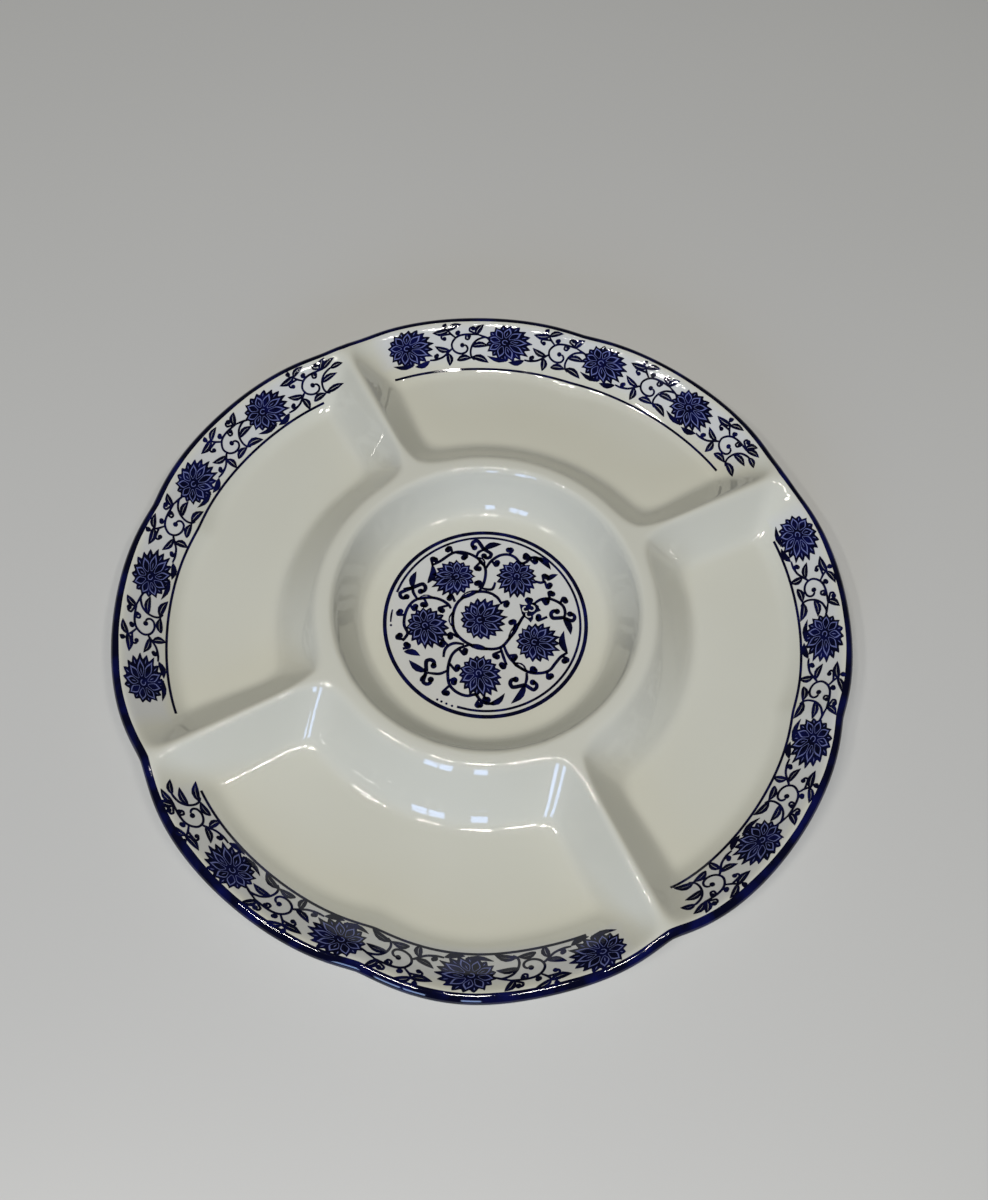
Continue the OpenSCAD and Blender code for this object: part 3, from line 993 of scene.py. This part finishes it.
border_tree, given, leave = start_tree(
    "border print",
    [(label, "Object") for label in border_sketches]
    + [(label, "Float") for label in ("Start", "Pitch", "Shift", "Line Lead", "Line Length", "Line Place")],
    [("Geometry", "Geometry")])
step = add(border_tree, "ShaderNodeCombineXYZ", {"X": given["Pitch"]})
stops = add(border_tree, "GeometryNodeMeshLine", {"Count": units, "Offset": step.outputs[0]}).outputs["Mesh"]
number = add(border_tree, "GeometryNodeInputIndex").outputs[0]
is_last = add(border_tree, "FunctionNodeCompare", {2: number, 3: units - 1},
              data_type="INT", operation="EQUAL").outputs[0]
not_last = add(border_tree, "FunctionNodeBooleanMath", {0: is_last}, operation="NOT").outputs[0]
rows = []
for label, chosen in (("Unit", not_last), ("End", is_last)):
    parts = [filled(border_tree, given[label + " Shapes"]), ribbons(border_tree, given[label + " Lines"])]
    motif = add(border_tree, "GeometryNodeJoinGeometry", {"Geometry": parts})
    row = add(border_tree, "GeometryNodeInstanceOnPoints",
              {"Points": stops, "Selection": chosen, "Instance": motif.outputs["Geometry"]})
    rows.append(row.outputs["Instances"])
pale_row = add(border_tree, "GeometryNodeInstanceOnPoints",
               {"Points": stops, "Instance": filled(border_tree, given["Unit Pale"])})

middle = work_out(border_tree, {"lead": given["Line Lead"], "length": given["Line Length"]}, [
    ("half", "MULTIPLY", "length", 0.5),
    ("place", "ADD", "lead", "half"),
])["place"]
line_spot = add(border_tree, "ShaderNodeCombineXYZ", {"X": middle, "Y": given["Line Place"]})
line = add(border_tree, "GeometryNodeMeshGrid",
           {"Size X": given["Line Length"], "Size Y": line_width, "Vertices X": line_posts, "Vertices Y": 2})
line_set = add(border_tree, "GeometryNodeSetPosition",
               {"Geometry": line.outputs["Mesh"], "Offset": line_spot.outputs[0]})
laid_out = add(border_tree, "GeometryNodeJoinGeometry", {"Geometry": rows + [line_set.outputs["Geometry"]]})

position = add(border_tree, "GeometryNodeInputPosition").outputs[0]
flat_spot = add(border_tree, "ShaderNodeSeparateXYZ", {0: position})
known = {"along": flat_spot.outputs["X"], "across": flat_spot.outputs["Y"], "start": given["Start"],
         "shift": given["Shift"]}
work_out(border_tree, known, [
    ("share", "DIVIDE", "along", border_r),
    ("angle", "SUBTRACT", "start", "share"),
])
find_edge(border_tree, known)
work_out(border_tree, known, [
    ("moved", "ADD", "across", "shift"),
    ("even reach", "MULTIPLY_ADD", "moved", math.cos(rim_slope), border_r),
    ("dip", "SUBTRACT", "edge", rim_r),
    ("reach", "MULTIPLY_ADD", "dip", follow_edge, "even reach"),
])
known["radius"] = known["reach"]
known["on dish"] = surface(border_tree, known, top_side)
films = []
for flat, drop, colour in ((laid_out.outputs["Geometry"], 0.0, printed_cobalt),
                           (pale_row.outputs["Instances"], pale_drop, bled_cobalt)):
    work_out(border_tree, known, [("z", "ADD", "on dish", print_lift - print_depth / 2 - drop)])
    real = add(border_tree, "GeometryNodeRealizeInstances", {"Geometry": flat}).outputs["Geometry"]
    films.append(colour_film(border_tree, set_place(border_tree, real, known), colour))
whole = add(border_tree, "GeometryNodeJoinGeometry", {"Geometry": films})
border_tree.links.new(whole.outputs["Geometry"], leave.inputs["Geometry"])
print("border print:", len(border_tree.nodes), "nodes")

# %% [markdown]
# Four runs of the tree with their own starts give the four borders. One border and three turned copies
# would be quicker, but the real ones were laid by hand: they begin at different distances from their
# dividers and lie a little further in or out.

# %% Lay the four borders on the rim
# Each border: the angle of its first flower, and in mm the pitch of its units, how far out it lies, and
# its line's place across the band, its start and its length
borders = {
    "border_transfer_1": (-11.8, 40.5, 0.6, -8.6, -3.8, 158),
    "border_transfer_2": (77.7, 39.9, -0.2, -10.6, -9.5, 154),
    "border_transfer_3": (165.9, 40.4, 0.0, -9.0, -14, 157),
    "border_transfer_4": (259.5, 40.9, 1.7, -8.4, 1.0, 150),
}
for node, (first_flower, unit_pitch, shift, line_place, lead_in, length) in borders.items():
    border = run_tree(node + "_print", border_tree, {
        **border_sketches, "Start": math.radians(first_flower), "Pitch": unit_pitch * mm, "Shift": shift * mm,
        "Line Lead": lead_in * mm, "Line Length": length * mm, "Line Place": line_place * mm,
    })
    hand_over(border, node)

# %% [markdown]
# ## The medallion
# The print in the bowl is one round tissue: two rings, six lotus heads and the vine that winds between
# them. The inner ring breaks off into a dash and a few dots on one side, where the tissue didn't take.
# Six copies of one flower would look stamped, so each head has its own size and turn.

# %% Draw the rings and the flowers of the medallion
def arc(hub, radius, start, end, width):
    """Part of a circle, with its angles in degrees."""
    step_angle = 8
    steps = round(abs(end - start) / step_angle)
    turns = [math.radians(start + (end - start) * k / steps) for k in range(steps + 1)]
    return {"lines": [[(*on_circle(hub, radius, t), width) for t in turns]]}


medal_origin = (-0.9, 0.3)
# Each head: its middle, its width and height, and its turn
lotus_heads = [
    ((-3.8, 21), 16.2, 14.6, 0.3), ((17.2, 10.4), 15.2, 15.4, 1.1), ((-20.8, 7.2), 15.2, 16.6, 2.0),
    ((-1.2, 1.7), 16.6, 16.8, 3.1), ((-12.3, -18), 15.2, 16.2, 1.6), ((12.3, -15.4), 16, 15.4, 2.6),
]
heads = [lotus(*head) for head in lotus_heads]
rings = [arc(medal_origin, 36.5, 0, 360, 1.4), arc(medal_origin, 34.4, -134, 134, 0.9)]
dashes = [stem((-29.2, 19.4), (-30.6, 17.4), (-31.9, 15.2), width=0.7)]
for spot in ((-32.3, 14), (-29.8, -19), (-28.8, -20.3), (-27.6, -21.8), (-26.2, -23.4)):
    dashes.append({"shapes": [dot(spot, 0.45)]})
print("medallion:", len(heads), "flowers,", len(rings), "rings and", len(dashes), "dashes and dots")

# %% [markdown]
# The vine goes round each flower in turn, and where it forks, a branch begins on its path. The real one was
# drawn by hand, so no rule gives it: its points are listed one by one, only as many as the bends need.

# %% Wind the vine round the flowers
vine_width = 1.15
vine_paths = [
    # Round the middle flower and on to the lower right
    ((7.4, 3.8), (7.2, 7), (5.2, 10.2), (2, 12.1), (-2, 12.6), (-6, 11.8), (-9, 9.6), (-11.5, 6), (-12.7, 2),
     (-12, -2), (-10, -5.5), (-6.5, -8.8), (-3, -10.8), (0, -11.1), (3.5, -9.6), (7.5, -7.2), (11, -4.8),
     (13, -3.6)),
    # Round the left flower
    ((-10, 10.4), (-10.2, 12.5), (-12, 15.5), (-15, 17.8), (-19.5, 19.2), (-23, 18.2), (-26, 15.5), (-28, 12),
     (-28.2, 8.7), (-29.8, 7.3), (-31.2, 6.6)),
    # Round the top flower
    ((-8.6, 29.4), (-5, 29.6), (0.5, 30.6), (4, 29.5), (7, 26.5), (8.6, 23), (8.8, 20), (7.8, 17.5), (6, 15),
     (4, 13.2), (2.4, 12.2)),
    # Round the right flower
    ((8.8, 19.4), (12, 21.3), (16, 22), (19, 21), (20.8, 18.8), (21.3, 16.3), (22.2, 15.3), (24, 15.3),
     (25.7, 16), (28, 15.2), (29.4, 12.6)),
    # Round the lower right flower
    ((0.7, -10.6), (0.2, -14), (0.5, -17.5), (2, -21.5), (4.5, -24.7), (8, -26.5), (11, -26.7), (14, -25.3),
     (17, -24), (19.8, -23.6)),
    ((-0.8, -11), (-1.6, -15), (-2, -18.2)),
    # Round the lower left flower
    ((-10.4, -5.4), (-14, -5), (-17.5, -6), (-20.5, -9), (-22.5, -12.5), (-23.5, -16), (-22.5, -19.5),
     (-20, -22.3), (-17, -23.3), (-16.4, -25.8), (-15, -28), (-12.6, -28.9)),
    # The branches
    ((17.6, -1.4), (21, -0.8), (24, -1.8), (26.3, -4.3), (27.3, -7), (26.5, -9.8), (25.2, -10.8)),
    ((-21.8, -10.8), (-25, -10.6), (-28.5, -8.4)),
    ((-19.3, 19.2), (-19.5, 22), (-19.3, 24.2), (-22.2, 25.1)),
    ((8, 25.4), (9.6, 26.7), (12, 26.8)),
    ((23, 6.6), (24.4, 5.3), (26.4, 5)),
    ((3, -24), (2, -26), (0.4, -27.8)),
    ((-20.8, -5.6), (-19.2, -3.3), (-17, -2.3), (-14.5, -2.6), (-12, -4.4)),
    ((-29.4, -8.6), (-31.2, -9.4), (-32, -10.4)),
    ((4, 12.6), (7, 10.8), (9.4, 12.8)),
]
winding = [stem(*path, width=vine_width) for path in vine_paths]
print("vine:", len(winding), "stretches")

# %% [markdown]
# The vine carries trefoils, which are two hooks with a leaf between them, and single buds and leaves. They
# differ only in place and turn, so each kind is a list and a loop. One flower is still closed.

# %% Set trefoils, buds and leaves on the vine
bud_r = 1.15
# A trefoil: its foot, the crown and turn of its two hooks, and the tip of its leaf
trefoils = [
    ((11.8, 27), (10.2, 30), 1, (12, 24.3), -1, (18.8, 26)),
    ((-19, 24.2), (-16, 22.7), -1, (-23, 23), 1, (-14.8, 29.6)),
    ((25.2, -10.9), (23, -8.5), -1, (27.7, -12), 1, (24.3, -18)),
    ((0.4, -27.8), (-2.7, -25.6), -1, (2.7, -29.4), 1, (-7.3, -31.8)),
    ((-28.7, -7.9), (-26.2, -5.7), -1, (-29.9, -11), 1, (-32.3, -1.2)),
]
for foot, large_crown, large_turn, small_crown, small_turn, tip in trefoils:
    winding.append(curl(foot, large_crown, large_turn, reach=1.5, bud=bud_r, width=1.5))
    winding.append(curl(foot, small_crown, small_turn, reach=1.35, bud=bud_r, width=1.4))
    winding.append(leaf(foot, tip, 2.3, slit=0))
# A bud on its own: where it leaves the vine, where its head lies, and its turn
buds = [
    ((-8.2, 29.4), (-7, 31.4), -1), ((0.5, 30.6), (0.3, 32.8), 1), ((19.4, 20.8), (20.7, 22.2), 1),
    ((12.4, 21.4), (13.2, 19.4), 1), ((26, 15.8), (24.8, 17.6), 1), ((25.4, 15.8), (26.7, 14), 1),
    ((-26.2, 15.6), (-27.6, 17), -1), ((-30.6, 7), (-31.8, 8.6), -1), ((-32.4, 3.8), (-30.4, 4), 1),
    ((7.4, 4.4), (9.2, 3.4), -1), ((6.4, -7.6), (7.9, -4.4), 1), ((24.4, -2), (25.6, -0.2), -1),
    ((26.8, -5.4), (28.9, -4.6), -1), ((21.6, -0.9), (22.4, -2.7), 1), ((9.9, -26.8), (9.5, -28.9), 1),
    ((17.4, -24), (18, -25.9), -1), ((-23.6, -16.2), (-26.2, -17.8), 1), ((-20, -8.6), (-18.6, -11.6), 1),
    ((-23.2, -14.6), (-21.4, -15.2), -1), ((0.4, -15.4), (2, -16.7), -1), ((4.4, -24.6), (5.7, -23.8), -1),
    ((-16.6, -25.4), (-17.9, -27.1), 1), ((-15.4, -27.8), (-14.2, -26.9), 1),
    ((-1.9, -17.4), (-3.3, -18.1), -1), ((-1.2, -12.6), (-3.9, -13.2), 1), ((-10.3, 12), (-13.4, 11.8), 1),
    ((3, 13.4), (3.8, 15.2), 1), ((-7.5, 12.2), (-8, 14.6), 1), ((-22.6, 18), (-21.8, 16.4), 1),
    ((-17, 18.6), (-17.8, 16), -1), ((2, 30.2), (4.2, 27.4), -1), ((8.6, 22.8), (6, 21), 1),
    ((-12.6, -1), (-14.8, 1), 1), ((-14.4, -5.2), (-13.3, -7.2), 1), ((20, -8), (16.9, -7.2), -1),
    ((25.6, 5), (27, 6.9), -1), ((26, 4.8), (26.3, 2.7), 1), ((16.4, -0.3), (16.9, 1.0), -1),
    ((-17.4, -2.4), (-18.6, -0.6), 1),
]
for start, crown, turn in buds:
    winding.append(curl(start, crown, turn, reach=0.75, bud=bud_r, width=1.0))
winding += [
    leaf((-13, 23.4), (-8.2, 30), 2.4, bow=-0.15, slit=0),
    leaf((19.6, -23.8), (22.8, -15.6), 2.4, bow=0.15, slit=0),
    leaf((-14.6, -28.6), (-7.5, -27.4), 2.0, bow=-0.15, slit=0),
    leaf((28, 15.4), (30.4, 8.4), 2.2, slit=0),
    leaf((-32.4, 2.6), (-28, -1.4), 2.2, slit=0),
    leaf((27, 5), (31.8, 5.5), 1.8, slit=0),
    leaf((8.3, 25), (8.7, 20), 2.2, slit=0.4),
    leaf((0.4, -18.6), (3.4, -24), 2.2, slit=0.4),
    leaf((-12.6, 3), (-9.4, 9.4), 2.0, bow=0.12, slit=0.45),
    leaf((-5.2, 12.5), (3, 12.2), 2.2, bow=0.05, slit=0.5),
    leaf((-10.6, -5.4), (-4.8, -10.4), 2.0, bow=0.02, slit=0.45),
    leaf((3, -9.9), (10.8, -5), 2.0, bow=0.02, slit=0.45),
    leaf((-19.4, 19), (-13.4, 17), 1.8, bow=0.12, slit=0.45),
]
# The closed flower, with its petals' edges in bare crescents
half_open = [
    [(12.2, -3), (12.8, -0.6), (13.3, 1.1), (14.3, 0.2), (15.4, -0.4), (17, -0.3), (18.7, -0.8), (18.9, -2),
     (19.3, -2.7), (19, -3.6), (19.2, -4.8), (17.4, -4.7), (15.7, -5.2), (15, -6.5), (13.5, -7.4), (13.2, -6),
     (12.5, -4.5)],
    crescent((14.3, -1.8), 1.0, 60, 290, 0.55),
    crescent((14.4, -4.2), 1.0, 120, 290, 0.5),
    crescent((16.5, -2.4), 1.15, -170, 70, 0.55),
]
medal_motifs = heads + rings + dashes + winding + [{"shapes": half_open}]
print("medallion:", len(medal_motifs), "motifs")

# %% [markdown]
# The tree of the border could lay this print too, but the bowl's floor is flat under it, so nothing has to
# be bent: the films are only lifted to the floor. The sketches have then done their work and are removed.

# %% Lay the medallion in the bowl
medal_sketches = {
    "Lines": draw("medallion_lines", medal_motifs, "lines", medal_origin),
    "Shapes": draw("medallion_shapes", medal_motifs, "shapes", medal_origin),
    "Pale": draw("medallion_pale", medal_motifs, "pale", medal_origin),
}
medal_tree, given, leave = start_tree(
    "medallion print", [(label, "Object") for label in medal_sketches], [("Geometry", "Geometry")])
flat_print = add(medal_tree, "GeometryNodeJoinGeometry",
                 {"Geometry": [filled(medal_tree, given["Shapes"]), ribbons(medal_tree, given["Lines"])]})
films = []
for flat, drop, colour in ((flat_print.outputs["Geometry"], 0.0, printed_cobalt),
                           (filled(medal_tree, given["Pale"]), pale_drop, bled_cobalt)):
    on_floor = add(medal_tree, "GeometryNodeSetPosition",
                   {"Geometry": flat, "Offset": (0, 0, floor_h + print_lift - print_depth / 2 - drop)})
    films.append(colour_film(medal_tree, on_floor.outputs["Geometry"], colour))
whole = add(medal_tree, "GeometryNodeJoinGeometry", {"Geometry": films})
medal_tree.links.new(whole.outputs["Geometry"], leave.inputs["Geometry"])
medallion = run_tree("medallion_print", medal_tree, medal_sketches)
hand_over(medallion, "centre_transfer")

for sketch in [*border_sketches.values(), *medal_sketches.values()]:
    bpy.data.objects.remove(sketch)

# %% [markdown]
# ## The table
# The dish stands on a plain pale table with satin paint. One wide square is enough, because the paint's
# faint unevenness comes from its material. It belongs to the stage and not to the part.

# %% Set the table
def pale_table():
    """Painted board. The eye sees an even pale grey with soft, dull reflections."""
    material, tree, shader, point = start_material("satin_table_paint", {"Roughness": 0.38, "IOR": 1.45})
    patch_size = 300 * mm
    paint = mottled(tree, point, patch_size, 1.0, "#C3C4C4", "#CBCCCB")
    tree.links.new(paint, shader.inputs["Base Color"])
    return material


# Half the table's width in metres, far past the edges of the picture
table_half = 30.0
table_gap = 0.05 * mm
table_mesh = bpy.data.meshes.new("table")
corners = [(x * table_half, y * table_half, -table_gap) for x, y in ((-1, -1), (1, -1), (1, 1), (-1, 1))]
table_mesh.from_pydata(corners, [], [(0, 1, 2, 3)])
table_mesh.materials.append(pale_table())
table = bpy.data.objects.new("table", table_mesh)
bpy.context.scene.collection.objects.link(table)
print(f"table: {2 * table_half:.0f} m wide")

# %% [markdown]
# ## The light
# A glaze shows what it mirrors, so the lamps have the shapes of the room's lights. Two paned windows
# behind the camera leave the cool squares on the near slopes, with a lamp for each pane, and pairs of
# ceiling tubes give the main light and the small bright dashes. One large soft lamp would light the dish
# as well, but it would leave a milky blot on it. The world adds a little even light to the shadows.

# %% Set the world and the lamps
world = bpy.data.worlds.new("plain_room")
world.use_nodes = True
bpy.context.scene.world = world
backdrop = world.node_tree.nodes["Background"]
backdrop.inputs["Color"].default_value = linear("#D9DDDF")
backdrop.inputs["Strength"].default_value = 0.06

# Places and sizes in metres, in the photograph's axes
window_y = -1.6
pane_w = 0.17
pane_h = 0.24
pane_watts = 1.3
pane_columns = {"left_1": -0.54, "left_2": -0.34, "right_1": 0.12}
pane_rows = {"low": 0.45, "high": 0.72}
ceiling_h = 1.75
tube_length = 0.2
tube_w = 0.012
tube_gap = 0.12
tube_watts = 2.65
fixtures = [(-0.95, -0.8), (-0.3, -0.83), (0.4, -0.8), (-0.65, -0.6), (0.05, -0.62), (0.75, -0.6)]

# Each lamp: its place, width, height, watts and colour
lamps = {}
for column, x in pane_columns.items():
    for row, z in pane_rows.items():
        lamps[f"window_{column}_{row}"] = ((x, window_y, z), pane_w, pane_h, pane_watts, "#AECBFF")
for number, (x, y) in enumerate(fixtures, start=1):
    for side, shift in (("front", -tube_gap / 2), ("back", tube_gap / 2)):
        spot = (x, y + shift, ceiling_h)
        lamps[f"ceiling_tube_{number}_{side}"] = (spot, tube_length, tube_w, tube_watts, "#FFFBF3")
for name, (spot, width, height, watts, colour) in lamps.items():
    data = bpy.data.lights.new(name, "AREA")
    data.shape = "RECTANGLE"
    data.size = width
    data.size_y = height
    data.energy = watts
    data.color = linear(colour)[:3]
    lamp = bpy.data.objects.new(name, data)
    bpy.context.scene.collection.objects.link(lamp)
    place = to_dish @ Vector(spot)
    lamp.matrix_world = Matrix.Translation(place) @ (-place).to_track_quat("-Z", "Y").to_matrix().to_4x4()
print("lamps:", ", ".join(lamps))

# %% [markdown]
# ## The view
# The view transform is the plain Standard one, so colours are shown as they are set.

# %% Keep the view plain
bpy.context.scene.view_settings.view_transform = "Standard"
